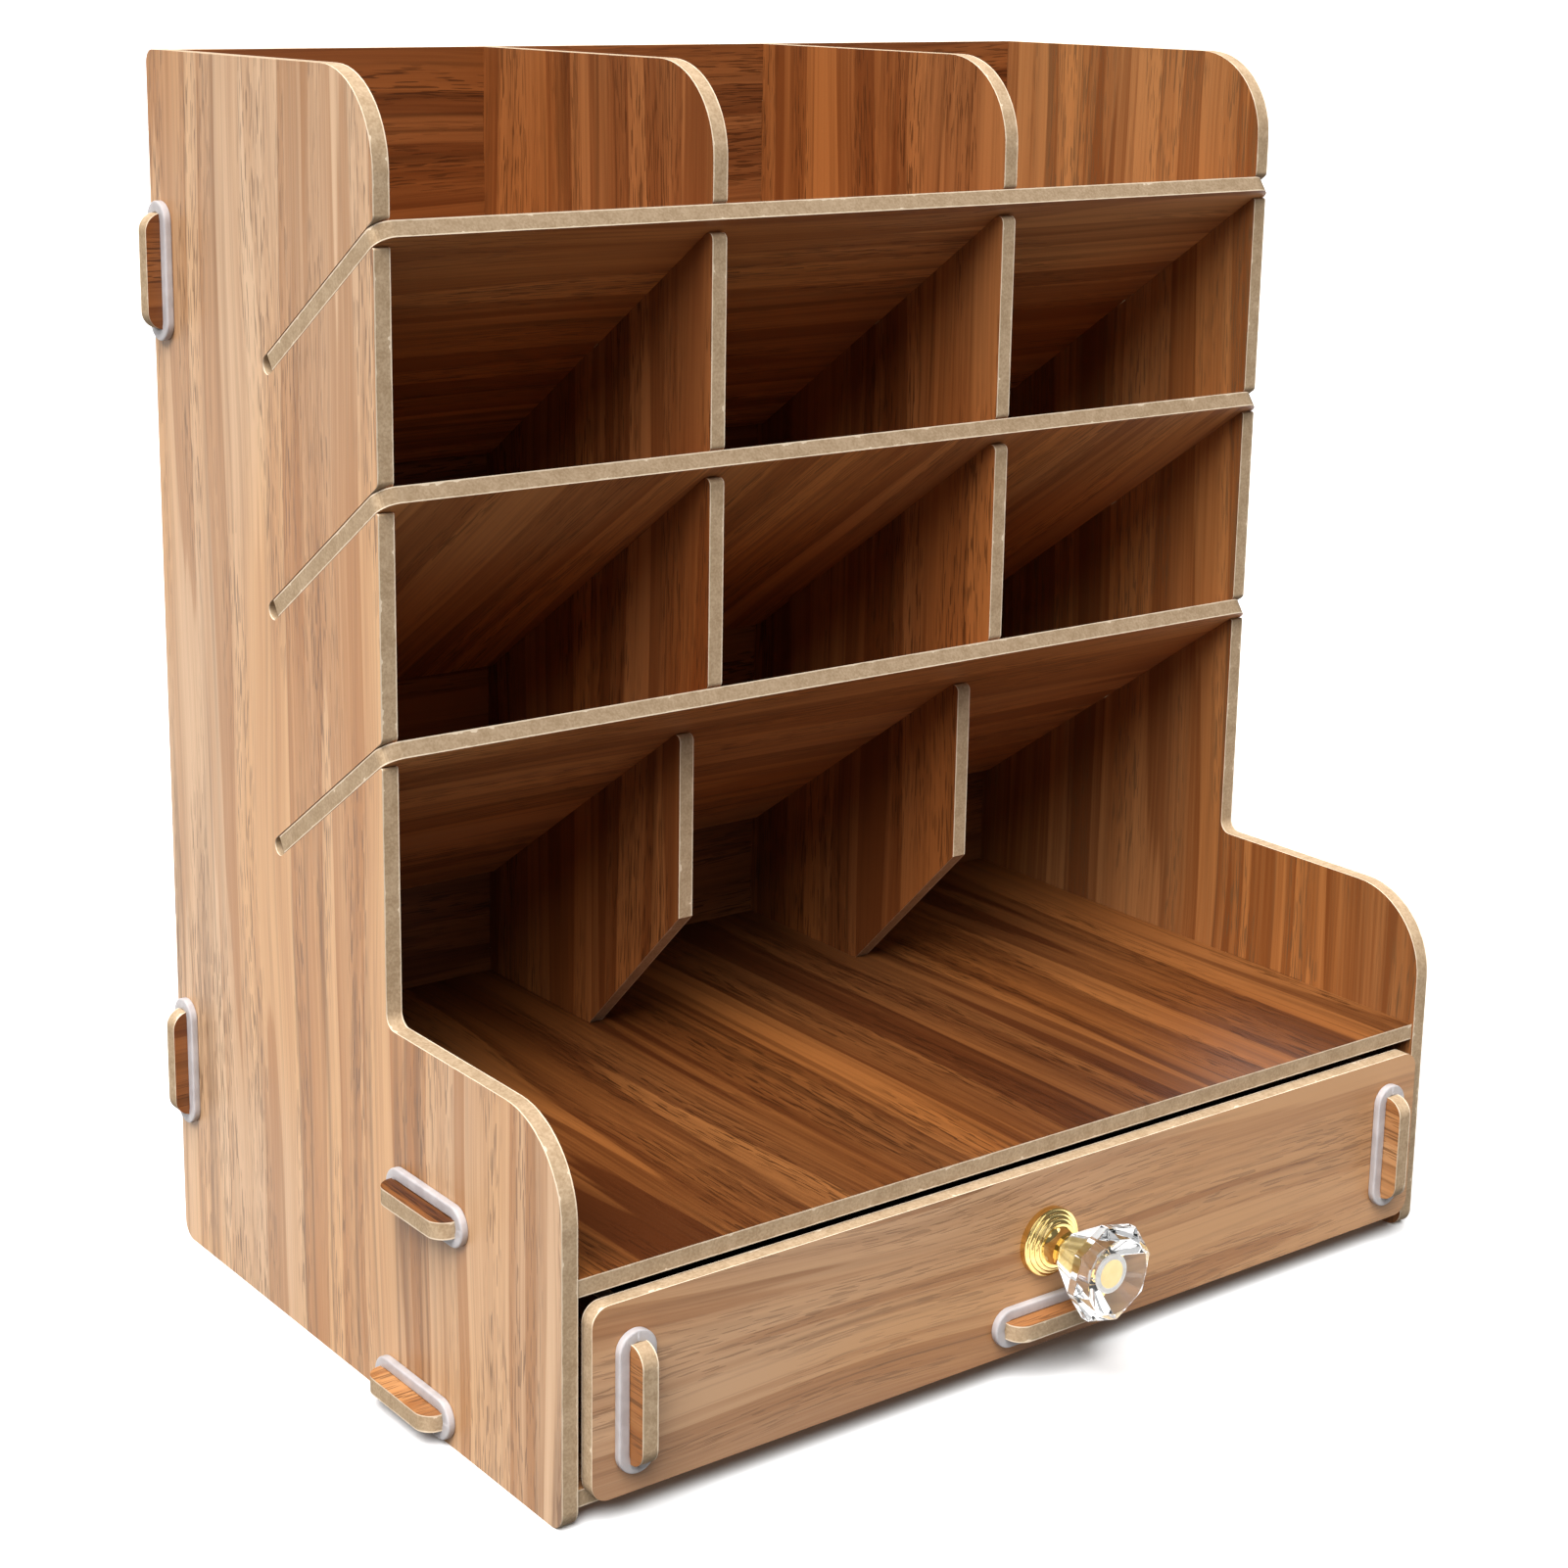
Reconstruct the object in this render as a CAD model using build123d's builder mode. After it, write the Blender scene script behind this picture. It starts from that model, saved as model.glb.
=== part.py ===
from build123d import *
import os
from math import copysign, cos, radians, sin, tan

os.makedirs("parts", exist_ok=True)

# Desk organizer of thin laminated boards: three sloped shelves cross two upright
# dividers, over an open tray and one drawer. Tabs pass through mortises and are locked
# from outside by silicone rings.
# X runs to the right, Y to the back and Z up. The origin is the middle of the footprint.

# Driving dimensions, in millimetres and degrees
width = 248.0
height = 280.0
depth = 166.0
upper_depth = 99.5
board = 3.8
fit = 0.1

# Outline of the sides
ledge_height = 84.5
front_corner = 20.0
step_corner = 3.0
foot_corner = 4.0
top_corner = 3.0

# Sloped shelves and the diagonal slots that hold them
slope = 34.4
shelf_count = 3
top_slot_drop = 31.6
lowest_slot_height = 143.2
slot_reach = 47.5
slot_end_room = 3.5
slot_play = 0.4
lip_round = 1.5
side_lip_round = 0.5
shelf_proud = 1.2
shelf_corner = 4.2

# Lower edge of the dividers, below the lowest shelf
foot_inset = 10.4
foot_chamfer = 36.5

# Tray, base and back
tray_top = 53.0
tray_setback = 0.4
tray_tab_setback = 49.5
base_tab_setback = 55.5
back_inset = 3.9
upper_tab_drop = 47.8
lower_tab_height = 46.7

# Tabs locked by rings, and the short flush tenons of the hidden joints
tab_length = 25.6
tab_reach = 6.0
back_tab_reach = 5.0
tab_round = 4.0
ring_band = 2.6
ring_height = 1.8
tenon_length = 12.5
tenon_drop = 20.2
tenon_lift = 12.0

# Drawer
drawer_proud = 2.7
drawer_front_gap = 1.5
drawer_front_drop = 1.8
drawer_front_lap = 1.8
drawer_front_corner = 4.0
drawer_side_inset = 9.7
drawer_headroom = 5.1
drawer_bottom_lift = 5.4
drawer_back_room = 10.0
drawer_back_overhang = 3.0
slide_play = 0.1

# Knob, measured outwards from the face of the drawer front
knob_lift = 3.7
knob_turn = 10.0
rose_radius = 7.8
rose_rim_rise = 1.8
rose_steps = 3
rose_step_in = 0.85
rose_step_rise = 0.65
neck_radius = 4.4
neck_waist = 3.9
neck_end = 8.2
post_radius = 3.2
post_depth = 10.4
crystal_sides = 8
crystal_radius = 11.2
crystal_back_radius = 4.8
table_radius = 9.0
table_corner_cut = 0.7
girdle_start = 18.5
girdle_end = 20.5
knob_length = 22.3

# Screw and washer that hold the knob
screw_radius = 2.0
screw_bite = 7.0
screw_head_radius = 3.6
screw_head_rise = 2.4
screw_recess_width = 0.9
screw_recess_length = 4.0
screw_recess_depth = 1.3
washer_radius = 4.6
washer_rise = 0.8

# Places worked out from the dimensions above
front = (drawer_proud + knob_length - depth) / 2
rear = front + depth
upper_front = rear - upper_depth
inner_half = width / 2 - board
column = (2 * inner_half - 2 * board) / 3
divider_x = (column + board) / 2
back_rear = rear - back_inset
back_face = back_rear - board
back_middle = back_rear - board / 2
foot_front = upper_front + foot_inset
tray_bottom = tray_top - board
base_bottom = board
base_top = base_bottom + board
tray_tab_y = front + tray_tab_setback
base_tab_y = front + base_tab_setback
upper_tab_z = height - upper_tab_drop
tab_run = fit + board + tab_reach
back_tab_x = width / 2 + back_tab_reach - tab_run
mortise = board + 2 * fit
mortise_length = tab_length + 2 * fit
tenon_z = height - tenon_drop
low_tenon_z = tray_top + tenon_lift
divider_tenon_y = (foot_front + foot_chamfer + back_face) / 2

rise = tan(radians(slope))
shelf_pitch = (height - top_slot_drop - lowest_slot_height) / (shelf_count - 1)
slot_levels = [lowest_slot_height + shelf_pitch * step for step in reversed(range(shelf_count))]
slot_run = slot_reach / cos(radians(slope))
slot_width = board + slot_play
lip = slot_width / 2 / cos(radians(slope))

drawer_face = front - drawer_proud
drawer_front_rear = drawer_face + board
drawer_front_width = 2 * (inner_half - drawer_front_gap)
drawer_front_top = tray_bottom - drawer_front_drop
drawer_front_bottom = base_top - drawer_front_lap
drawer_front_height = drawer_front_top - drawer_front_bottom
drawer_front_middle = (drawer_front_top + drawer_front_bottom) / 2
drawer_x = drawer_front_width / 2 - drawer_side_inset
drawer_low = base_top + slide_play
drawer_side_height = tray_bottom - drawer_headroom - drawer_low
drawer_tab_z = drawer_low + drawer_side_height / 2
drawer_bottom_height = drawer_low + drawer_bottom_lift
knob_height = drawer_front_middle + knob_lift
drawer_back_face = back_face - drawer_back_room - board
drawer_back_rear = drawer_back_face + board
drawer_middle_y = (drawer_front_rear + drawer_back_face) / 2
drawer_bottom_half = drawer_x - board / 2 - fit


def corners_at(outline, points):
    """The corner of an outline nearest to each of the given points."""
    return [outline.vertices().sort_by_distance(point)[0] for point in points]


def save(part, name):
    """Label a finished piece and write it under its own name."""
    part.label = name
    export_step(part, f"parts/{name}.step")


# Shapes that several boards share
# A tab stands on the edge of its board and points along X, its outer corners rounded.
with BuildSketch() as tab:
    Rectangle(tab_run, tab_length, align=(Align.MIN, Align.CENTER))
    fillet(tab.vertices().group_by(Axis.X)[-1], tab_round)

# A short tenon that ends flush with the far face of the board it enters.
with BuildSketch() as tenon:
    Rectangle(fit + board, tenon_length, align=(Align.MIN, Align.CENTER))

# The diagonal slots, seen from the side: they enter at the upper front edge, run down
# towards the back and end round.
with BuildSketch() as slots:
    with Locations([(upper_front, level) for level in slot_levels]):
        SlotOverall(2 * slot_run, slot_width, rotation=-slope)

upper_lips = [(upper_front, level + lip) for level in slot_levels]
lower_lips = [(upper_front, level - lip) for level in slot_levels]

# Side panels, seen from the side
with BuildSketch() as side:
    with BuildLine():
        Polyline(
            (front, 0),
            (front, ledge_height),
            (upper_front, ledge_height),
            (upper_front, height),
            (rear, height),
            (rear, 0),
            close=True,
        )
    make_face()
    fillet(corners_at(side, [(front, ledge_height), (upper_front, height)]), front_corner)
    fillet(corners_at(side, [(upper_front, ledge_height)]), step_corner)
    fillet(corners_at(side, [(front, 0), (rear, 0)]), foot_corner)
    fillet(corners_at(side, [(rear, height)]), top_corner)
    add(slots.sketch, mode=Mode.SUBTRACT)
    fillet(corners_at(side, upper_lips), lip_round)
    fillet(corners_at(side, lower_lips), side_lip_round)
    with Locations((back_middle, upper_tab_z), (back_middle, lower_tab_height)):
        Rectangle(mortise, mortise_length, mode=Mode.SUBTRACT)
    with Locations((tray_tab_y, tray_top - board / 2), (base_tab_y, base_top - board / 2)):
        Rectangle(mortise_length, mortise, mode=Mode.SUBTRACT)

with BuildPart() as left_side_panel:
    with BuildSketch(Plane.YZ.offset(-width / 2)):
        add(side.sketch)
    extrude(amount=board)
save(left_side_panel.part, "left_side_panel")

with BuildPart() as right_side_panel:
    with BuildSketch(Plane.YZ.offset(inner_half)):
        add(side.sketch)
    extrude(amount=board)
save(right_side_panel.part, "right_side_panel")

# Dividers, seen from the side: the upper front edge is level with that of the sides,
# and below the lowest shelf the edge is set back and cut away to the tray.
lowest_slot = slot_levels[-1]
foot_lip = (foot_front, lowest_slot - foot_inset * rise - lip)
with BuildSketch() as divider:
    with BuildLine():
        Polyline(
            (upper_front, height),
            (upper_front, lowest_slot),
            (foot_front, lowest_slot - foot_inset * rise),
            (foot_front, tray_top + foot_chamfer),
            (foot_front + foot_chamfer, tray_top),
            (back_face - fit, tray_top),
            (back_face - fit, height),
            close=True,
        )
    make_face()
    fillet(corners_at(divider, [(upper_front, height)]), front_corner)
    add(slots.sketch, mode=Mode.SUBTRACT)
    fillet(corners_at(divider, upper_lips + lower_lips[:-1] + [foot_lip]), lip_round)
    with Locations((back_face - fit, tenon_z), (back_face - fit, low_tenon_z)):
        add(tenon.sketch)
    with Locations((divider_tenon_y, tray_bottom)):
        Rectangle(tenon_length, board, align=(Align.CENTER, Align.MIN))

for name, x in (("left_divider", -divider_x), ("right_divider", divider_x)):
    with BuildPart() as upright:
        with BuildSketch(Plane.YZ.offset(x - board / 2)):
            add(divider.sketch)
        extrude(amount=board)
    save(upright.part, name)

# Back panel, seen from the front, between the sides with two tabs through each of them
with BuildPart() as back_panel:
    with BuildSketch(Plane.XZ.offset(-back_rear)):
        Rectangle(2 * (inner_half - fit), height, align=(Align.CENTER, Align.MIN))
        with Locations([(back_tab_x, z) for z in (upper_tab_z, lower_tab_height)]):
            add(tab.sketch)
        with Locations([(-back_tab_x, z) for z in (upper_tab_z, lower_tab_height)]):
            add(tab.sketch, rotation=180)
        with Locations([(x, z) for x in (-divider_x, divider_x) for z in (tenon_z, low_tenon_z)]):
            Rectangle(mortise, tenon_length + 2 * fit, mode=Mode.SUBTRACT)
        with Locations([(x, z - board / 2) for x in (-column, column) for z in (tray_top, base_top)]):
            Rectangle(tenon_length + 2 * fit, mortise, mode=Mode.SUBTRACT)
    extrude(amount=board)
save(back_panel.part, "back_panel")

# Tray and base, seen from above: each has a tab a side and two flush tenons in the back
with BuildPart() as tray_panel:
    with BuildSketch(Plane.XY.offset(tray_bottom)):
        with Locations((0, back_face - fit)):
            Rectangle(
                2 * (inner_half - fit),
                back_face - fit - front - tray_setback,
                align=(Align.CENTER, Align.MAX),
            )
        with Locations((inner_half - fit, tray_tab_y)):
            add(tab.sketch)
        with Locations((fit - inner_half, tray_tab_y)):
            add(tab.sketch, rotation=180)
        with Locations((-column, back_face - fit), (column, back_face - fit)):
            add(tenon.sketch, rotation=90)
        with Locations((-divider_x, divider_tenon_y), (divider_x, divider_tenon_y)):
            Rectangle(mortise, tenon_length + 2 * fit, mode=Mode.SUBTRACT)
    extrude(amount=board)
save(tray_panel.part, "tray_panel")

with BuildPart() as base_panel:
    with BuildSketch(Plane.XY.offset(base_bottom)):
        with Locations((0, back_face - fit)):
            Rectangle(
                2 * (inner_half - fit),
                back_face - fit - drawer_front_rear - slide_play,
                align=(Align.CENTER, Align.MAX),
            )
        with Locations((inner_half - fit, base_tab_y)):
            add(tab.sketch)
        with Locations((fit - inner_half, base_tab_y)):
            add(tab.sketch, rotation=180)
        with Locations((-column, back_face - fit), (column, back_face - fit)):
            add(tenon.sketch, rotation=90)
    extrude(amount=board)
save(base_panel.part, "base_panel")

# Sloped shelves, drawn flat from the front edge backwards: the ears at the front fill the
# slots of the sides and stand a little proud, and the slots at the back straddle the dividers.
# Each shelf lies on the lower faces of its slots, with the play above it.
shelf_front = upper_front - shelf_proud
shelf_run = (back_face - fit - shelf_front - board / 2 * sin(radians(slope))) / cos(radians(slope))
lap_run = slot_run + shelf_proud / cos(radians(slope)) - slot_end_room
with BuildSketch() as shelf:
    Rectangle(width, lap_run, align=(Align.CENTER, Align.MIN))
    fillet(shelf.vertices().group_by(Axis.Y)[0], shelf_corner)
    Rectangle(2 * (inner_half - fit), shelf_run, align=(Align.CENTER, Align.MIN))
    with Locations((-divider_x, lap_run), (divider_x, lap_run)):
        Rectangle(mortise, shelf_run, align=(Align.CENTER, Align.MIN), mode=Mode.SUBTRACT)

for name, level in zip(("upper_shelf", "middle_shelf", "lower_shelf"), slot_levels):
    lean = Plane(
        origin=(0, shelf_front, level + shelf_proud * rise),
        x_dir=(1, 0, 0),
        z_dir=(0, sin(radians(slope)), cos(radians(slope))),
    )
    with BuildPart() as leaf:
        with BuildSketch(lean.offset(fit - slot_width / 2)):
            add(shelf.sketch)
        extrude(amount=board)
    save(leaf.part, name)

# Drawer front, seen from the front
with BuildPart() as drawer_front:
    with BuildSketch(Plane.XZ.offset(-drawer_front_rear)):
        with Locations((0, drawer_front_middle)):
            RectangleRounded(drawer_front_width, drawer_front_height, drawer_front_corner)
        with Locations((-drawer_x, drawer_tab_z), (drawer_x, drawer_tab_z)):
            Rectangle(mortise, mortise_length, mode=Mode.SUBTRACT)
        with Locations((0, drawer_bottom_height)):
            Rectangle(mortise_length, mortise, mode=Mode.SUBTRACT)
        with Locations((0, knob_height)):
            Circle(screw_radius + fit, mode=Mode.SUBTRACT)
    extrude(amount=board)
save(drawer_front.part, "drawer_front")

# Drawer sides, seen from the side, with a tab through the front and one through the back
with BuildSketch() as drawer_side:
    with Locations((drawer_front_rear + fit, drawer_low)):
        Rectangle(
            drawer_back_face - drawer_front_rear - 2 * fit,
            drawer_side_height,
            align=(Align.MIN, Align.MIN),
        )
    with Locations((drawer_back_face - fit, drawer_tab_z)):
        add(tab.sketch)
    with Locations((drawer_front_rear + fit, drawer_tab_z)):
        add(tab.sketch, rotation=180)
    with Locations((drawer_middle_y, drawer_bottom_height)):
        Rectangle(mortise_length, mortise, mode=Mode.SUBTRACT)

for name, x in (("drawer_left_side", -drawer_x), ("drawer_right_side", drawer_x)):
    with BuildPart() as wall:
        with BuildSketch(Plane.YZ.offset(x - board / 2)):
            add(drawer_side.sketch)
        extrude(amount=board)
    save(wall.part, name)

# Drawer bottom, seen from above: a tab through the front and through each side, and a
# flush tenon in the back
with BuildPart() as drawer_bottom:
    with BuildSketch(Plane.XY.offset(drawer_bottom_height - board / 2)):
        with Locations((0, drawer_middle_y)):
            Rectangle(2 * drawer_bottom_half, drawer_back_face - drawer_front_rear - 2 * fit)
        with Locations((drawer_bottom_half, drawer_middle_y)):
            add(tab.sketch)
        with Locations((-drawer_bottom_half, drawer_middle_y)):
            add(tab.sketch, rotation=180)
        with Locations((0, drawer_front_rear + fit)):
            add(tab.sketch, rotation=-90)
        with Locations((0, drawer_back_face - fit)):
            add(tenon.sketch, rotation=90)
    extrude(amount=board)
save(drawer_bottom.part, "drawer_bottom")

# Drawer back, seen from the front
with BuildPart() as drawer_back:
    with BuildSketch(Plane.XZ.offset(-drawer_back_rear)):
        with Locations((0, drawer_low)):
            Rectangle(
                2 * drawer_x + board + 2 * drawer_back_overhang,
                drawer_side_height,
                align=(Align.CENTER, Align.MIN),
            )
        with Locations((-drawer_x, drawer_tab_z), (drawer_x, drawer_tab_z)):
            Rectangle(mortise, mortise_length, mode=Mode.SUBTRACT)
        with Locations((0, drawer_bottom_height)):
            Rectangle(tenon_length + 2 * fit, mortise, mode=Mode.SUBTRACT)
    extrude(amount=board)
save(drawer_back.part, "drawer_back")


# Silicone rings: flat loops, tight round the tab and seated on the board it comes out of
def save_ring(name, place, along, outwards):
    """One ring on the given spot, its length along the tab, its free face outwards."""
    seat = Plane(origin=place, x_dir=along, z_dir=outwards)
    with BuildPart() as ring:
        with BuildSketch(seat):
            SlotOverall(tab_length + 2 * ring_band, board + 2 * ring_band)
            Rectangle(tab_length, board, mode=Mode.SUBTRACT)
        extrude(amount=ring_height)
    save(ring.part, name)


upright_tab = (0, 0, 1)
level_tab = (0, 1, 0)
cross_tab = (1, 0, 0)
tray_z = tray_top - board / 2
base_z = base_top - board / 2
drawer_wall = drawer_x + board / 2
for hand, sign in (("left", -1), ("right", 1)):
    outer = sign * width / 2
    outwards = (sign, 0, 0)
    save_ring(f"{hand}_upper_back_ring", (outer, back_middle, upper_tab_z), upright_tab, outwards)
    save_ring(f"{hand}_lower_back_ring", (outer, back_middle, lower_tab_height), upright_tab, outwards)
    save_ring(f"{hand}_tray_ring", (outer, tray_tab_y, tray_z), level_tab, outwards)
    save_ring(f"{hand}_base_ring", (outer, base_tab_y, base_z), level_tab, outwards)
    wall_spot = (sign * drawer_wall, drawer_middle_y, drawer_bottom_height)
    save_ring(f"drawer_{hand}_side_ring", wall_spot, level_tab, outwards)
    front_spot = (sign * drawer_x, drawer_face, drawer_tab_z)
    save_ring(f"drawer_front_{hand}_ring", front_spot, upright_tab, (0, -1, 0))
    back_spot = (sign * drawer_x, drawer_back_rear, drawer_tab_z)
    save_ring(f"drawer_back_{hand}_ring", back_spot, upright_tab, (0, 1, 0))
save_ring("drawer_front_bottom_ring", (0, drawer_face, drawer_bottom_height), cross_tab, (0, -1, 0))

# Knob rose: a turned rim with round steps on it, a waisted neck and a post for the crystal.
# The profile has the distance out from the drawer front along X and the radius along Y.
knob_spot = (0, drawer_face, knob_height)
knob_axis = Axis(knob_spot, (0, -1, 0))
knob_profile = Plane(origin=knob_spot, x_dir=(0, -1, 0), z_dir=(-1, 0, 0))
rose_rise = rose_rim_rise + rose_steps * rose_step_rise
with BuildPart() as knob_rose:
    with BuildSketch(knob_profile):
        for step in range(rose_steps + 1):
            step_out = rose_rim_rise + step * rose_step_rise
            step_radius = rose_radius - step * rose_step_in
            Rectangle(step_out, step_radius, align=(Align.MIN, Align.MIN))
        with BuildLine():
            Polyline(
                (rose_rise, 0),
                (rose_rise, neck_radius),
                ((rose_rise + neck_end) / 2, neck_waist),
                (neck_end, neck_radius),
                (neck_end, 0),
                close=True,
            )
        make_face()
        Rectangle(neck_end + post_depth, post_radius, align=(Align.MIN, Align.MIN))
        Rectangle(screw_bite + fit, screw_radius, align=(Align.MIN, Align.MIN), mode=Mode.SUBTRACT)
    revolve(axis=knob_axis)
save(knob_rose.part, "knob_rose")

# Knob crystal: an eight-sided head, bored from behind for the post. Its facets are cut one
# plane at a time: the flats of the crown, the three-cornered facets at the crown's corners
# and the flats behind the girdle. A row gives the turn of its first facet, then how far out
# and how far from the axis the facet starts at the girdle and ends at its tip.
knob_seat = Plane(origin=knob_spot, x_dir=(1, 0, 0), z_dir=(0, -1, 0))
side_turn = 360 / crystal_sides
flat_turn = knob_turn + side_turn / 2
flatness = cos(radians(side_turn / 2))
girdle_flat = crystal_radius * flatness
facet_rows = [
    (flat_turn, girdle_end, girdle_flat, knob_length, table_radius * flatness),
    (knob_turn, girdle_end, crystal_radius, knob_length, table_radius - table_corner_cut),
    (flat_turn, girdle_start, girdle_flat, neck_end, crystal_back_radius * flatness),
]
with BuildPart() as knob_crystal:
    with BuildSketch(knob_seat.offset(neck_end)):
        RegularPolygon(crystal_radius, crystal_sides, rotation=knob_turn)
    extrude(amount=knob_length - neck_end)
    for turn, out, reach, tip_out, tip_reach in facet_rows:
        run = abs(tip_out - out)
        lean = copysign(reach - tip_reach, tip_out - out)
        for side in range(crystal_sides):
            across = cos(radians(turn + side * side_turn))
            upwards = sin(radians(turn + side * side_turn))
            edge = (reach * across, drawer_face - out, knob_height + reach * upwards)
            facet = Plane(origin=edge, z_dir=(run * across, -lean, run * upwards))
            split(bisect_by=facet, keep=Keep.BOTTOM)
    with BuildSketch(knob_seat.offset(neck_end)):
        Circle(post_radius + fit)
    extrude(amount=post_depth + fit, mode=Mode.SUBTRACT)
save(knob_crystal.part, "knob_crystal")

# Washer and pan-head screw behind the drawer front, the screw with a cross recess
washer_seat = knob_seat.offset(-board - washer_rise)
with BuildPart() as knob_washer:
    with BuildSketch(washer_seat):
        Circle(washer_radius)
        Circle(screw_radius + fit, mode=Mode.SUBTRACT)
    extrude(amount=washer_rise)
save(knob_washer.part, "knob_washer")

head_end = -board - washer_rise - screw_head_rise
with BuildPart() as knob_screw:
    with BuildSketch(knob_profile) as screw:
        with Locations((head_end, 0)):
            Rectangle(screw_head_rise, screw_head_radius, align=(Align.MIN, Align.MIN))
        chamfer(corners_at(screw, [(head_end, screw_head_radius)]), screw_head_rise / 2)
        with Locations((head_end, 0)):
            Rectangle(screw_bite - head_end, screw_radius - fit / 2, align=(Align.MIN, Align.MIN))
    revolve(axis=knob_axis)
    with BuildSketch(knob_seat.offset(head_end)):
        Rectangle(screw_recess_length, screw_recess_width)
        Rectangle(screw_recess_width, screw_recess_length)
    extrude(amount=screw_recess_depth, mode=Mode.SUBTRACT)
save(knob_screw.part, "knob_screw")
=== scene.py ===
from math import cos, hypot, pi, radians, sin

import bmesh
import bpy
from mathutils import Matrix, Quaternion, Vector


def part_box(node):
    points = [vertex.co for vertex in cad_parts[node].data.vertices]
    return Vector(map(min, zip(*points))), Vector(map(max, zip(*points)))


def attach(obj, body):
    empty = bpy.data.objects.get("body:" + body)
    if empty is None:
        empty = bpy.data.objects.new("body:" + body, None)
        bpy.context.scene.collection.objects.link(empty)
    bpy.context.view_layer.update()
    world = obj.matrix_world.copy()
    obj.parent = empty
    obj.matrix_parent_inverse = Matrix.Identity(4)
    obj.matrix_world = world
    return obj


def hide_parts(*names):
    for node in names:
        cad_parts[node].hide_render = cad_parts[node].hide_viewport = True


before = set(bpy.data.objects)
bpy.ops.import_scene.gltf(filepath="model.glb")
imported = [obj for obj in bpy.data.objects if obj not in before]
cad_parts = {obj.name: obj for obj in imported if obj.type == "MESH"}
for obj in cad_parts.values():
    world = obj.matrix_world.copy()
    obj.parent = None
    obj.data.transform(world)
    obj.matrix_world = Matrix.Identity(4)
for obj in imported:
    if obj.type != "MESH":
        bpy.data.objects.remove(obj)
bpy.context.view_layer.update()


# Side panels
# Two upright boards of thin fibreboard, faced on both sides with a wood-grain print whose
# grain runs upwards. They are cut to outline after facing, so every edge shows bare board.
class Signal:
    """One output of a node tree. Sums written with it add Math nodes to that tree."""

    def __init__(self, tree, socket=None):
        self.tree = tree
        self.socket = socket

    def feed(self, made, sockets):
        """Give sockets of a node, by name or number, a plain value or a link."""
        for name, value in sockets.items():
            if isinstance(value, Signal):
                self.tree.links.new(value.socket, made.inputs[name])
            else:
                made.inputs[name].default_value = value

    def node(self, kind, settings=None, sockets=None, output=0):
        """Add a node, its settings first, and return one of its outputs."""
        made = self.tree.nodes.new(kind)
        for name, value in (settings or {}).items():
            setattr(made, name, value)
        self.feed(made, sockets or {})
        return Signal(self.tree, made.outputs[output])

    def math(self, operation, *values):
        return self.node("ShaderNodeMath", {"operation": operation}, dict(enumerate(values)))

    def ramp(self, low, high):
        """0 up to low, 1 from high on, and a smooth rise between them."""
        rise = {"Value": self, "From Min": low, "From Max": high}
        return self.node("ShaderNodeMapRange", {"interpolation_type": "SMOOTHSTEP"}, rise)

    def mix(self, first, second):
        """The first colour where this is 0 and the second where it is 1."""
        return self.node("ShaderNodeMix", {"data_type": "RGBA"}, {0: self, 6: first, 7: second}, 2)

    def tint(self, base, colour):
        """The base colour, multiplied by the other one where this is 1."""
        multiply = {"data_type": "RGBA", "blend_type": "MULTIPLY"}
        return self.node("ShaderNodeMix", multiply, {0: self, 6: base, 7: colour}, 2)

    def along(self, direction):
        """How far a position reaches in a direction."""
        dot = {"operation": "DOT_PRODUCT"}
        return self.node("ShaderNodeVectorMath", dot, {0: self, 1: direction}, "Value")

    def noise(self, scale, detail, roughness=0.5):
        """Soft noise at a position, with about as many patches to a metre as the scale says."""
        look = {"Vector": self, "Scale": scale, "Detail": detail, "Roughness": roughness}
        return self.node("ShaderNodeTexNoise", {}, look)

    def bump(self, strength, rise):
        """The normal of a surface that this lifts, by the rise in metres where it is 1."""
        lift = {"Strength": strength, "Distance": rise, "Height": self}
        return self.node("ShaderNodeBump", {}, lift)

    def fraction(self):
        """What is left when the whole number is taken off."""
        return self.math("FRACT", self)

    def __add__(self, other):
        return self.math("ADD", self, other)

    def __sub__(self, other):
        return self.math("SUBTRACT", self, other)

    def __rsub__(self, other):
        return self.math("SUBTRACT", other, self)

    def __mul__(self, other):
        return self.math("MULTIPLY", self, other)

    def __truediv__(self, other):
        return self.math("DIVIDE", self, other)

    def __abs__(self):
        return self.math("ABSOLUTE", self)

    __radd__ = __add__
    __rmul__ = __mul__


def new_finish(name):
    """A fresh material, the place on its object to build nodes from, and its main shader."""
    finish = bpy.data.materials.new(name)
    finish.use_nodes = True
    place = Signal(finish.node_tree).node("ShaderNodeTexCoord", output="Object")
    return finish, place, finish.node_tree.nodes["Principled BSDF"]


film_thick = 0.00028
film_blur = 0.00006
film_cream = (0.74, 0.60, 0.44, 1.0)
core_pale = (0.50, 0.365, 0.235, 1.0)
core_deep = (0.35, 0.24, 0.14, 1.0)


def bare_edge(place, depth, half):
    """A cut edge's colour, flecked board between two chipped films, and its fine specks."""
    specks = place.noise(1700.0, 3.0)
    clumps = place.noise(350.0, 2.0)
    flecks = (specks * 0.6 + clumps * 0.4).ramp(0.30, 0.70)
    core = flecks.mix(core_deep, core_pale)
    chips = (clumps - 0.5) * 0.0004 + clumps.ramp(0.64, 0.76) * 0.0005
    film_start = half - film_thick
    film = (depth + chips).ramp(film_start - film_blur, film_start + film_blur)
    return film.mix(core, film_cream), specks


amber = (1.0, 0.89, 0.73, 1.0)
pore_depth = 0.00006


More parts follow.
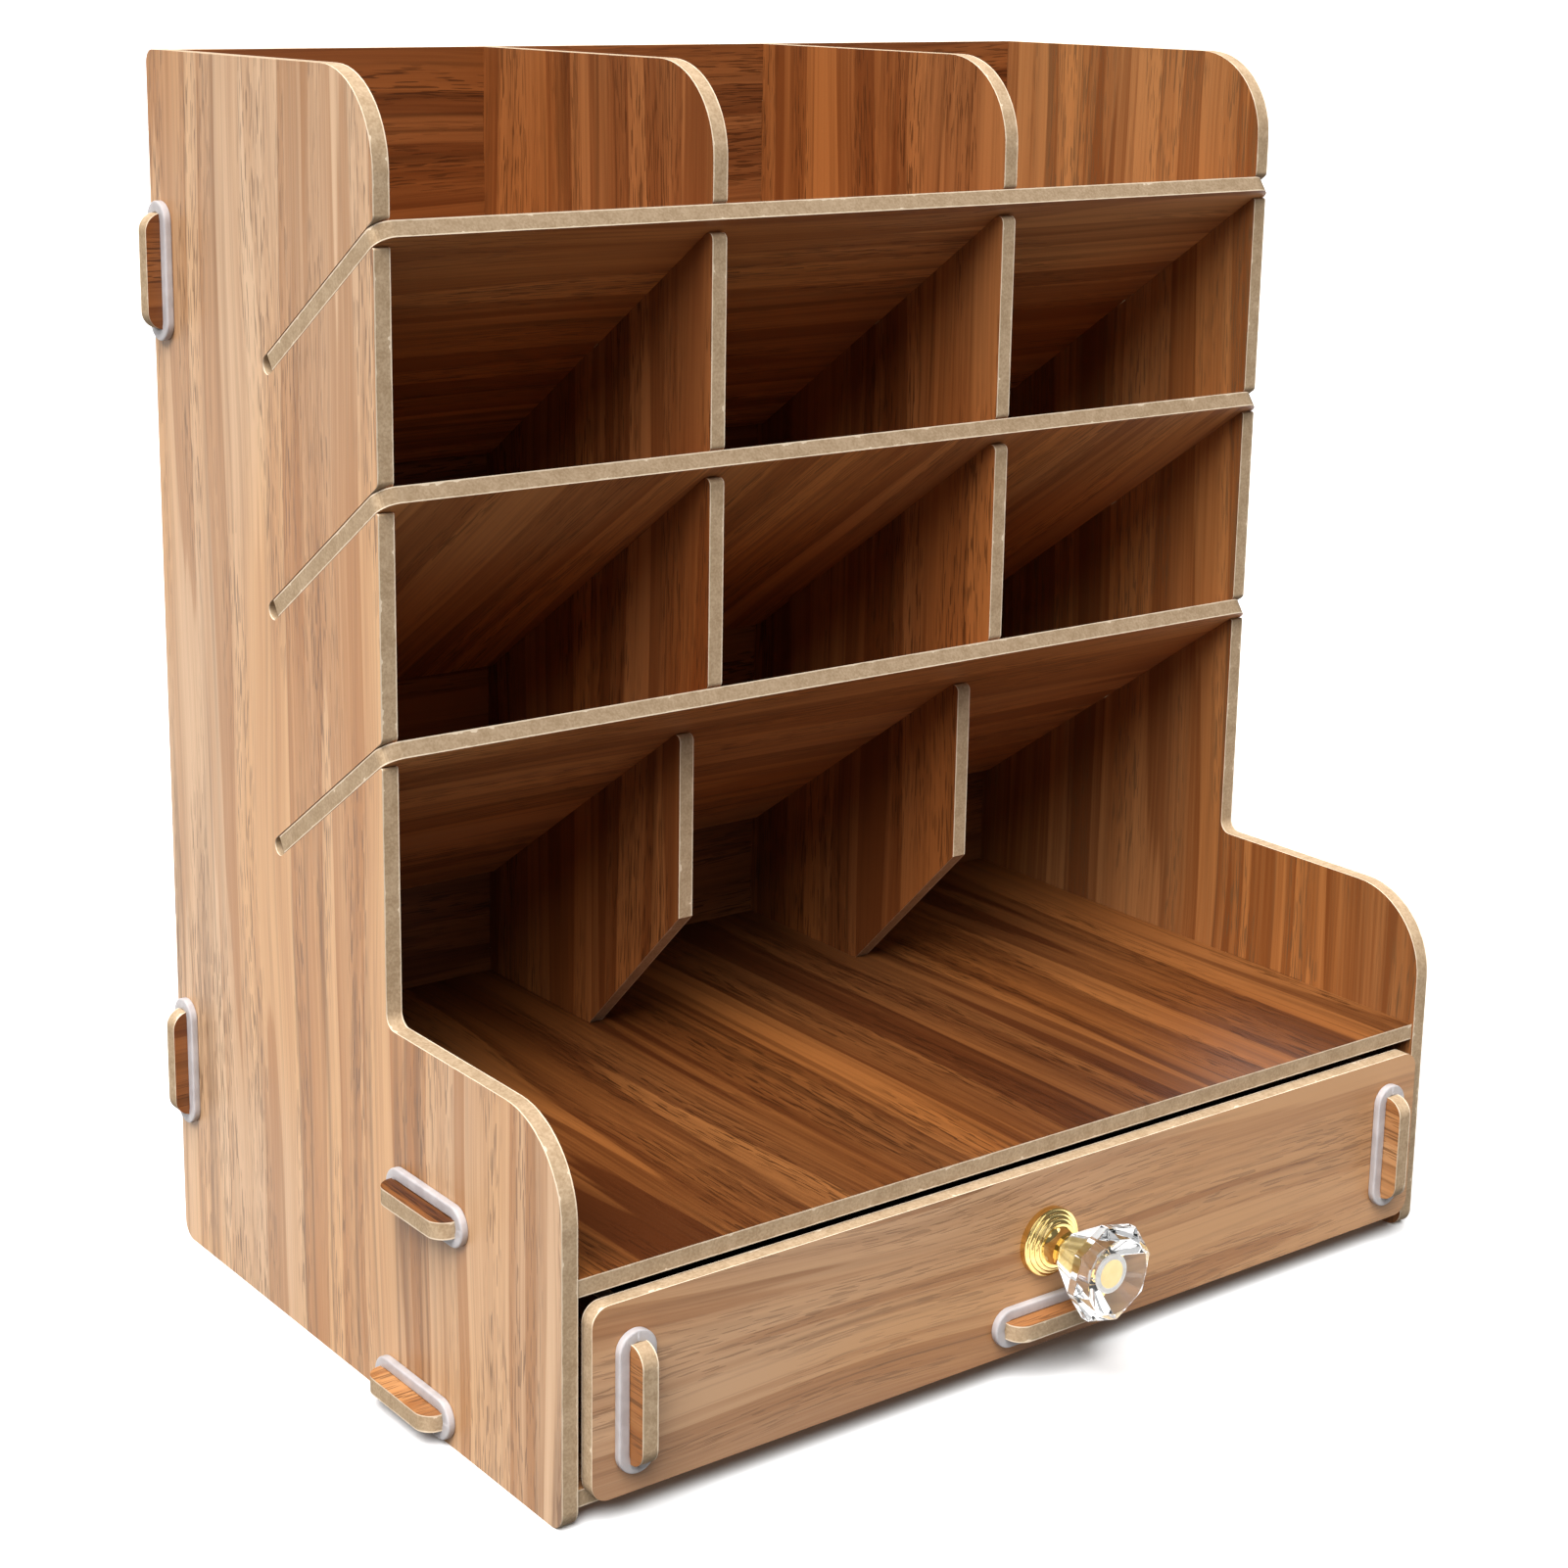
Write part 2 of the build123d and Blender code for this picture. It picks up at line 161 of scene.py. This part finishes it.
def grain_board(
    name, grain, face, sheet, seed, band=0.016, sway=0.006, pored=0.70, inner=None, front=None
):
    """Face a board with wood-grain print, its grain along one direction, its edges bare.

    A sheet is a pale and a deep colour. The inner sheet, partly painted shade, is for the
    board's other face, and the front colour is a painted shade on the edges that face the front.
    """
    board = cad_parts[name]
    grain = Vector(grain).normalized()
    face = Vector(face).normalized()
    levels = [vertex.co.dot(face) for vertex in board.data.vertices]
    middle = (min(levels) + max(levels)) / 2
    half = (max(levels) - min(levels)) / 2

    finish, place, shader = new_finish(f"{name}_print")
    facing = place.node("ShaderNodeNewGeometry", output="True Normal")
    length = place.along(grain)
    width = place.along(face.cross(grain))
    depth = abs(place.along(face) - middle)

    def streaks(side, wide, long, shift, detail=1.0):
        """Noise drawn out along the grain, its patches so wide and long in metres."""
        spread = {0: side / wide, 1: length / long, 2: seed + shift}
        return place.node("ShaderNodeCombineXYZ", {}, spread).noise(1.0, detail, roughness=0.6)

    # Wavy bands, with growth lines that darken slowly and stop short
    drift = streaks(width, wide=0.05, long=0.16, shift=0.3) - 0.5
    side = width + drift * (2 * sway)
    bands = streaks(side, wide=band, long=0.60, shift=1.7)
    ribbons = streaks(side, wide=band * 0.28, long=0.40, shift=3.1, detail=2.0)
    fibres = streaks(side, wide=0.0007, long=0.05, shift=5.9, detail=2.0)
    growth = (bands * 7.0 + ribbons * 0.8).fraction()
    late = growth.ramp(0.20, 0.93) * (1 - growth.ramp(0.93, 1.0))
    tone = (bands - 0.5) * 1.9 + (ribbons - 0.5) + (fibres - 0.5) * 0.7 - late * 0.34
    light = (tone + 0.61).ramp(0.0, 1.0)
    pale, deep = sheet
    wood = light.mix(deep, pale)
    # The inner sheet on the board's other face is partly painted shade
    if inner:
        inner_pale, inner_deep = inner
        outside = facing.along(face).ramp(-0.1, 0.1)
        wood = outside.mix(light.mix(inner_deep, inner_pale), wood)

    # Patches of a warmer tint
    blush = streaks(side, wide=0.045, long=0.20, shift=14.9).ramp(0.38, 0.62)
    wood = blush.tint(wood, amber)

    # Fine hairs, longer veins and short pores in clusters, all dark
    dark = [shade * 0.40 for shade in deep[:3]] + [1.0]
    hairs = 1 - abs(streaks(side, wide=0.003, long=0.25, shift=12.6) - 0.5).ramp(0.0, 0.05)
    lines = 1 - abs(streaks(side, wide=0.010, long=0.70, shift=7.3) - 0.5).ramp(0.0, 0.03)
    veins = lines * streaks(side, wide=0.03, long=0.15, shift=8.8).ramp(0.44, 0.62)
    dashes = streaks(side, wide=0.00034, long=0.007, shift=9.4, detail=0.0).ramp(0.59, 0.64)
    pores = dashes * streaks(side, wide=0.012, long=0.10, shift=10.2).ramp(0.40, 0.60)
    wood = (hairs * 0.18).mix(wood, dark)
    wood = (veins * 0.5).mix(wood, dark)
    wood = (pores * pored).mix(wood, dark)

    # Print on the faces and bare board on the edges
    bare, specks = bare_edge(place, depth, half)
    # Painted shade darkens the bare edges that face the front
    if front:
        bare = facing.along(to_front).ramp(0.4, 0.6).tint(bare, front)
    printed = abs(facing.along(face)).ramp(0.70, 0.72)
    height = (1 - printed) * specks * 2.0 - printed * (pores + veins * 0.4)
    rough = 0.86 - printed * (0.50 - fibres * 0.16)
    place.feed(shader, {"Base Color": printed.mix(bare, wood), "Roughness": rough})
    place.feed(shader, {"Normal": height.bump(0.5, pore_depth), "Specular IOR Level": 0.3})
    board.data.materials.clear()
    board.data.materials.append(finish)


upright = (0.0, 0.0, 1.0)
to_left = (-1.0, 0.0, 0.0)
to_right = (1.0, 0.0, 0.0)
to_front = (0.0, -1.0, 0.0)
to_back = (0.0, 1.0, 0.0)
# The inner faces' darker, warmer sheet is partly their print and partly painted shade
side_sheet = ((0.66, 0.432, 0.262, 1.0), (0.38, 0.182, 0.074, 1.0))
inner_print_and_shade = ((0.43, 0.185, 0.064, 1.0), (0.20, 0.067, 0.020, 1.0))
grain_board("left_side_panel", upright, to_left, side_sheet, seed=2.0, inner=inner_print_and_shade)
grain_board("right_side_panel", upright, to_right, side_sheet, seed=5.0, inner=inner_print_and_shade)

# Back panel
# One upright board between the sides, from the same faced stock but with its grain running
# across. Its tabs pass through the sides, and the other boards' tenons end flush in it.
back_sheet = ((0.28, 0.100, 0.031, 1.0), (0.125, 0.036, 0.010, 1.0))
grain_board("back_panel", to_right, to_back, back_sheet, seed=23.0)

# Tray and base
# Two level boards, tabbed into the sides. The tray is the open shelf at the front and has
# the liveliest grain, running from front to back, and the base carries the drawer.
# The tray's dark sheet is partly its print and partly painted shade
tray_print_and_shade = ((0.25, 0.094, 0.027, 1.0), (0.07, 0.020, 0.006, 1.0))
base_sheet = ((0.50, 0.26, 0.115, 1.0), (0.30, 0.125, 0.045, 1.0))
grain_board("tray_panel", to_back, upright, tray_print_and_shade, seed=31.0, band=0.024)
grain_board("base_panel", to_right, upright, base_sheet, seed=37.0)

# Dividers
# Two uprights with their grain upwards, slotted from the front for the shelves and held in
# the back and the tray by short tenons.
divider_sheet = ((0.36, 0.134, 0.042, 1.0), (0.165, 0.048, 0.013, 1.0))
grain_board("left_divider", upright, to_right, divider_sheet, seed=43.0)
grain_board("right_divider", upright, to_right, divider_sheet, seed=53.0)

# Sloped shelves
# Three alike boards that lean down to the back, half-lapped with the dividers, their ears in
# the slots of the sides. The middle one was cut with its grain along the slope.
slope = radians(34.4)
shelf_face = (0.0, sin(slope), cos(slope))
down_slope = (0.0, cos(slope), -sin(slope))
shelf_sheet = ((0.61, 0.275, 0.10, 1.0), (0.28, 0.098, 0.031, 1.0))
# A painted shade for the shelves' front edges
painted_edge_shade = (0.66, 0.66, 0.66, 1.0)
grain_board("upper_shelf", to_right, shelf_face, shelf_sheet, seed=61.0, front=painted_edge_shade)
grain_board("middle_shelf", down_slope, shelf_face, shelf_sheet, seed=67.0, front=painted_edge_shade)
grain_board("lower_shelf", to_right, shelf_face, shelf_sheet, seed=71.0, front=painted_edge_shade)

# Rings that lock the frame
# Moulded loops of milky silicone, stretched over each tab where it comes out of a side and
# pressed flat against the board, so that the tab can't draw back.
tab_length = 0.0256
tab_thick = 0.0038
ring_band = 0.0026
ring_height = 0.0018
ring_round = 0.0004
bend_parts = 14
edge_parts = 5

silicone, place, shader = new_finish("milky_silicone")
cloud = place.noise(260.0, 3.0)
milk = cloud.ramp(0.3, 0.7).mix((0.55, 0.51, 0.51, 1.0), (0.66, 0.62, 0.62, 1.0))
skin = place.noise(2600.0, 2.0).bump(0.3, 0.00003)
place.feed(shader, {"Base Color": milk, "Roughness": cloud * 0.25 + 0.28, "Normal": skin})
place.feed(shader, {"Subsurface Weight": 0.5, "Subsurface Radius": (1.0, 0.9, 0.85)})
place.feed(shader, {"Subsurface Scale": 0.0015, "Transmission Weight": 0.25, "IOR": 1.41})


def add_input(tree, name, kind):
    return tree.interface.new_socket(name=name, in_out="INPUT", socket_type=f"NodeSocket{kind}")


ring_tree = bpy.data.node_groups.new("ring_on_each_tab", "GeometryNodeTree")
add_input(ring_tree, "Seats", "Geometry")
ring_sizes = {
    add_input(ring_tree, "Tab length", "Float").identifier: tab_length,
    add_input(ring_tree, "Tab thickness", "Float").identifier: tab_thick,
    add_input(ring_tree, "Band", "Float").identifier: ring_band,
    add_input(ring_tree, "Height", "Float").identifier: ring_height,
    add_input(ring_tree, "Edge round", "Float").identifier: ring_round,
}
ring_tree.interface.new_socket(name="Rings", in_out="OUTPUT", socket_type="NodeSocketGeometry")
seats, long, thick, band, high, edge = (
    Signal(ring_tree, socket) for socket in ring_tree.nodes.new("NodeGroupInput").outputs[:6]
)
loop = {"Width": long + band, "Height": thick + band}
path = seats.node("GeometryNodeCurvePrimitiveQuadrilateral", {}, loop)
bend = {"Curve": path, "Count": bend_parts, "Radius": (thick + band) / 2, "Limit Radius": True}
path = seats.node("GeometryNodeFilletCurve", {"mode": "POLY"}, bend)
path = seats.node("GeometryNodeSetCurveNormal", {"mode": "Z_UP"}, {"Curve": path})
section = seats.node("GeometryNodeCurvePrimitiveQuadrilateral", {}, {"Width": band, "Height": high})
soften = {"Curve": section, "Count": edge_parts, "Radius": edge, "Limit Radius": True}
section = seats.node("GeometryNodeFilletCurve", {"mode": "POLY"}, soften)
ring = seats.node("GeometryNodeCurveToMesh", {}, {"Curve": path, "Profile Curve": section})
lift = seats.node("ShaderNodeCombineXYZ", {}, {2: high / 2})
ring = seats.node("GeometryNodeTransform", {}, {"Geometry": ring, "Translation": lift})
vector_field = {"data_type": "FLOAT_VECTOR"}
out = seats.node("GeometryNodeInputNamedAttribute", vector_field, {"Name": "outwards"})
run = seats.node("GeometryNodeInputNamedAttribute", vector_field, {"Name": "tab_run"})
axes = {"primary_axis": "Z", "secondary_axis": "X"}
turn = seats.node("FunctionNodeAxesToRotation", axes, {"Primary Axis": out, "Secondary Axis": run})
placed = {"Points": seats, "Instance": ring, "Rotation": turn}
rings = seats.node("GeometryNodeInstanceOnPoints", {}, placed)
rings = seats.node("GeometryNodeRealizeInstances", {}, {"Geometry": rings})
rings = seats.node("GeometryNodeSetShadeSmooth", {}, {0: rings})
rings = seats.node("GeometryNodeSetMaterial", {}, {"Geometry": rings, "Material": silicone})
rings.feed(ring_tree.nodes.new("NodeGroupOutput"), {0: rings})


def lock_with_rings(name, body, outwards_of):
    """One mesh with a ring on the seat of each named CAD ring, pointing outwards."""
    mesh = bpy.data.meshes.new(f"{name}_seats")
    places = []
    runs = []
    for node, outwards in outwards_of.items():
        low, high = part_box(node)
        size = high - low
        longest = max(range(3), key=lambda axis: size[axis])
        places.append((low + high) / 2 - Vector(outwards) * (ring_height / 2))
        runs.append([float(axis == longest) for axis in range(3)])
    mesh.from_pydata(places, [], [])
    facing = mesh.attributes.new("outwards", "FLOAT_VECTOR", "POINT")
    facing.data.foreach_set("vector", [value for way in outwards_of.values() for value in way])
    along = mesh.attributes.new("tab_run", "FLOAT_VECTOR", "POINT")
    along.data.foreach_set("vector", [value for way in runs for value in way])
    maker = bpy.data.objects.new(f"{name}_maker", mesh)
    bpy.context.scene.collection.objects.link(maker)
    modifier = maker.modifiers.new("rings", "NODES")
    modifier.node_group = ring_tree
    for socket, value in ring_sizes.items():
        modifier[socket] = value
    evaluated = maker.evaluated_get(bpy.context.evaluated_depsgraph_get())
    piece = bpy.data.objects.new(name, bpy.data.meshes.new_from_object(evaluated))
    bpy.data.objects.remove(maker)
    bpy.context.scene.collection.objects.link(piece)
    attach(piece, body)
    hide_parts(*outwards_of)


frame_rings = {}
for joint in ("upper_back", "lower_back", "tray", "base"):
    frame_rings[f"left_{joint}_ring"] = to_left
    frame_rings[f"right_{joint}_ring"] = to_right
lock_with_rings("frame_rings", "frame", frame_rings)

# Drawer box
# Five boards of the same stock, tabbed together. The front has its grain across and is a
# lighter sheet, and it covers the ends of the base when the drawer is shut.
front_sheet = ((0.535, 0.325, 0.185, 1.0), (0.325, 0.16, 0.075, 1.0))
grain_board("drawer_front", to_right, to_back, front_sheet, seed=83.0, sway=0.012, pored=0.4)
grain_board("drawer_back", to_right, to_back, base_sheet, seed=89.0)
grain_board("drawer_left_side", to_back, to_right, base_sheet, seed=97.0)
grain_board("drawer_right_side", to_back, to_right, base_sheet, seed=101.0)
grain_board("drawer_bottom", to_right, upright, base_sheet, seed=103.0)

# Rings that lock the drawer
# The same silicone loops: three on the front, over the tabs of the sides and the bottom, two
# behind the back and one outside each side, so that the box comes apart without tools.
drawer_rings = {
    "drawer_front_left_ring": to_front,
    "drawer_front_right_ring": to_front,
    "drawer_front_bottom_ring": to_front,
    "drawer_back_left_ring": to_back,
    "drawer_back_right_ring": to_back,
    "drawer_left_side_ring": to_left,
    "drawer_right_side_ring": to_right,
}
lock_with_rings("drawer_rings", "drawer", drawer_rings)

# Knob rose
# The knob's metal foot, turned in one piece with rounded steps, a waisted neck and a post
# that the clear head is glued on, then polished and plated in gold.
rose_radius = 0.0078
rim_rise = 0.0018
step_count = 4
step_rise = 0.00065
step_in = 0.00085
step_round = 0.0004
neck_radius = 0.0044
neck_waist = 0.0039
neck_end = 0.0082
post_radius = 0.0032
post_end = 0.0186
bore_radius = 0.0020
bore_end = 0.0071
turns = 96
round_parts = 6
neck_parts = 12
polish_fade = 0.002

rose_profile = [(bore_end, 0.0), (bore_end, bore_radius), (0.0, bore_radius), (0.0, rose_radius)]
for step in range(step_count):
    out = rim_rise + step * step_rise
    radius = rose_radius - step * step_in
    for part in range(round_parts + 1):
        angle = pi / 2 * part / round_parts
        corner_out = out - step_round + step_round * sin(angle)
        corner_radius = radius - step_round + step_round * cos(angle)
        rose_profile.append((corner_out, corner_radius))
neck_start = rim_rise + (step_count - 1) * step_rise
for part in range(neck_parts + 1):
    share = part / neck_parts
    out = neck_start + (neck_end - neck_start) * share
    rose_profile.append((out, neck_radius - (neck_radius - neck_waist) * sin(pi * share)))
rose_profile += [(neck_end, post_radius), (post_end, post_radius), (post_end, 0.0)]

low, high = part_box("knob_rose")
knob_middle = (low + high) / 2
knob_foot = high.y


def turned(name, profile, closed=False):
    """A turned piece on the knob's axis; the profile's points are how far out and the radius."""
    mesh = bmesh.new()
    rows = []
    for out, radius in profile:
        row = []
        for turn in range(turns if radius else 1):
            angle = 2 * pi * turn / turns
            across = knob_middle.x + radius * cos(angle)
            up = knob_middle.z + radius * sin(angle)
            row.append(mesh.verts.new((across, knob_foot - out, up)))
        rows.append(row)
    for inner, outer in zip(rows, rows[1:] + rows[:1] if closed else rows[1:]):
        for turn in range(turns):
            corners = [inner[turn % len(inner)], inner[(turn + 1) % len(inner)]]
            corners += [outer[(turn + 1) % len(outer)], outer[turn % len(outer)]]
            mesh.faces.new(dict.fromkeys(corners))
    bmesh.ops.recalc_face_normals(mesh, faces=mesh.faces)
    data = bpy.data.meshes.new(name)
    mesh.to_mesh(data)
    mesh.free()
    data.shade_smooth()
    data.set_sharp_from_angle(angle=radians(35))
    piece = bpy.data.objects.new(name, data)
    bpy.context.scene.collection.objects.link(piece)
    return piece


rose = turned("knob_rose_turned", rose_profile)
gold, place, shader = new_finish("polished_gold")
haze = place.noise(420.0, 4.0)
plate = haze.ramp(0.3, 0.75).mix((0.80, 0.58, 0.21, 1.0), (0.90, 0.69, 0.30, 1.0))
polish = place.noise(3000.0, 2.0).bump(0.15, 0.00001)
unpolished = (knob_foot - place.along(to_back)).ramp(neck_end, neck_end + polish_fade)
gloss = haze * 0.07 + 0.02 + unpolished * 0.4
place.feed(shader, {"Base Color": plate, "Roughness": gloss, "Metallic": 1.0, "Normal": polish})
rose.data.materials.append(gold)
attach(rose, "drawer")
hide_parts("knob_rose")

# Knob crystal
# A clear cast head with cut facets: a flat table, a narrow crown with cut corners, a thin
# girdle and long facets that run back to the neck. The arrises are polished a little round.
arris = 0.00014
clear_of_bore = 0.0005
mesh = bmesh.new()
mesh.from_mesh(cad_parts["knob_crystal"].data)
bmesh.ops.remove_doubles(mesh, verts=mesh.verts, dist=1e-6)
bmesh.ops.dissolve_limit(mesh, angle_limit=radians(1), verts=mesh.verts, edges=mesh.edges)
outer_edges = []
for edge in mesh.edges:
    ends = [end.co - knob_middle for end in edge.verts]
    if min(hypot(end.x, end.z) for end in ends) > post_radius + clear_of_bore:
        outer_edges.append(edge)
bmesh.ops.bevel(mesh, geom=outer_edges, offset=arris, segments=2, profile=0.5, affect="EDGES")
bmesh.ops.recalc_face_normals(mesh, faces=mesh.faces)
crystal_mesh = bpy.data.meshes.new("knob_crystal_cut")
mesh.to_mesh(crystal_mesh)
mesh.free()
crystal_mesh.shade_flat()
crystal_head = bpy.data.objects.new("knob_crystal_cut", crystal_mesh)
bpy.context.scene.collection.objects.link(crystal_head)
crystal, place, shader = new_finish("clear_crystal")
smear = place.noise(190.0, 3.0)
clear = smear.ramp(0.3, 0.7).mix((0.97, 0.98, 0.98, 1.0), (1.0, 1.0, 1.0, 1.0))
place.feed(shader, {"Base Color": clear, "Roughness": smear.ramp(0.45, 0.8) * 0.05, "IOR": 1.5})
place.feed(shader, {"Transmission Weight": 1.0})
crystal_mesh.materials.append(crystal)
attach(crystal_head, "drawer")
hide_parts("knob_crystal")

# Glue ring
# A bead of white glue round the end of the post. It holds the clear head on the post, has set
# hard inside the socket, and is seen through the facets as a pale ring.
glue_radius = 0.0044
glue_start = 0.0176
glue_round = 0.0003
glue_profile = [
    (post_end, post_radius),
    (glue_start, post_radius),
    (glue_start, glue_radius),
    (post_end - glue_round, glue_radius),
    (post_end, glue_radius - glue_round),
]
bead = turned("knob_glue_ring", glue_profile, closed=True)
glue, place, shader = new_finish("white_glue")
lumps = place.noise(900.0, 3.0)
white = lumps.ramp(0.3, 0.7).mix((0.80, 0.79, 0.76, 1.0), (0.92, 0.91, 0.89, 1.0))
uneven = lumps.bump(0.3, 0.00004)
place.feed(shader, {"Base Color": white, "Roughness": lumps * 0.3 + 0.3, "Normal": uneven})
bead.data.materials.append(glue)
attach(bead, "drawer")

# Screw and washer
# Plain zinc-plated steel: a pan-head screw with a cross recess, over a washer, drives into
# the rose from inside the drawer.
steel, place, shader = new_finish("zinc_steel")
brush = place.node("ShaderNodeMapping", {}, {"Vector": place, "Scale": (1.0, 1.0, 14.0)})
lay = brush.noise(900.0, 3.0)
zinc = lay.ramp(0.3, 0.7).mix((0.52, 0.53, 0.55, 1.0), (0.72, 0.73, 0.74, 1.0))
scuff = lay.bump(0.3, 0.00002)
sheen = lay * 0.3 + 0.25
place.feed(shader, {"Base Color": zinc, "Roughness": sheen, "Metallic": 1.0, "Normal": scuff})
for name in ("knob_screw", "knob_washer"):
    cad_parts[name].data.materials.clear()
    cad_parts[name].data.materials.append(steel)

# Studio
# A wide pale floor, a white surround that lights the shadows a little, one large soft light
# from the left front with a weak twin for the highlights, a third light from behind, and a
# camera where the photograph was taken.
floor_mesh = bpy.data.meshes.new("floor")
reach = 60.0
corners = [(-reach, -reach, 0), (reach, -reach, 0), (reach, reach, 0), (-reach, reach, 0)]
floor_mesh.from_pydata(corners, [], [(0, 1, 2, 3)])
floor = bpy.data.objects.new("floor", floor_mesh)
bpy.context.scene.collection.objects.link(floor)
paper, place, shader = new_finish("floor_paper")
mottle = place.noise(30.0, 4.0)
paper_white = mottle.ramp(0.3, 0.7).mix((0.88, 0.88, 0.88, 1.0), (0.91, 0.91, 0.91, 1.0))
place.feed(shader, {"Base Color": paper_white, "Roughness": 0.8})
floor_mesh.materials.append(paper)
floor.visible_diffuse = False

shade_glow = 0.20
more_in_view = 0.8
more_in_glass = 0.4
world = bpy.data.worlds.new("white_surround")
world.use_nodes = True
start = Signal(world.node_tree)
in_view = start.node("ShaderNodeLightPath", output="Is Camera Ray")
in_glass = start.node("ShaderNodeLightPath", output="Is Transmission Ray")
glow = in_view * more_in_view + in_glass * more_in_glass + shade_glow
surround = world.node_tree.nodes["Background"]
start.feed(surround, {"Color": (1.0, 1.0, 1.0, 1.0), "Strength": glow})
bpy.context.scene.world = world


def soft_light(name, strength, spread, side, height):
    """A far, wide light; spread, side from the front to the right, and height in degrees."""
    lamp = bpy.data.lights.new(name, "SUN")
    lamp.energy = strength
    lamp.angle = radians(spread)
    holder = bpy.data.objects.new(name, lamp)
    level = cos(radians(height))
    across = sin(radians(side)) * level
    towards = -cos(radians(side)) * level
    to_lamp = Vector((across, towards, sin(radians(height))))
    holder.rotation_euler = (-to_lamp).to_track_quat("-Z", "Y").to_euler()
    bpy.context.scene.collection.objects.link(holder)
    return holder


# The key would burn out on gold and crystal, so its weak twin alone makes the highlights.
key_light = soft_light("key_light", strength=6.5, spread=50, side=-55, height=56)
key_light.visible_glossy = False
key_light.visible_transmission = False
gloss_light = soft_light("gloss_light", strength=0.7, spread=50, side=-55, height=56)
gloss_light.visible_diffuse = False
soft_light("back_light", strength=2.0, spread=60, side=140, height=40)
bpy.context.scene.view_settings.view_transform = "Standard"

# The lens in the photograph's pixels: its focal length, and where its axis meets the picture.
image_size = 1601
focal_pixels = 2939.4
middle_pixel = (757.0, 655.0)
azimuth = radians(-36.61)
elevation = radians(13.51)
roll = radians(0.761)
lens = bpy.data.cameras.new("camera")
lens.sensor_width = 36.0
lens.lens = focal_pixels / image_size * lens.sensor_width
lens.shift_x = 0.5 - middle_pixel[0] / image_size
lens.shift_y = middle_pixel[1] / image_size - 0.5
lens.clip_start = 0.01
camera = bpy.data.objects.new("camera", lens)
camera.location = (-0.4005, -0.4978, 0.3027)
forwards = Vector((-sin(azimuth) * cos(elevation), cos(azimuth) * cos(elevation), -sin(elevation)))
camera.rotation_mode = "QUATERNION"
camera.rotation_quaternion = forwards.to_track_quat("-Z", "Y") @ Quaternion((0, 0, 1), roll)
bpy.context.scene.collection.objects.link(camera)
bpy.context.scene.camera = camera
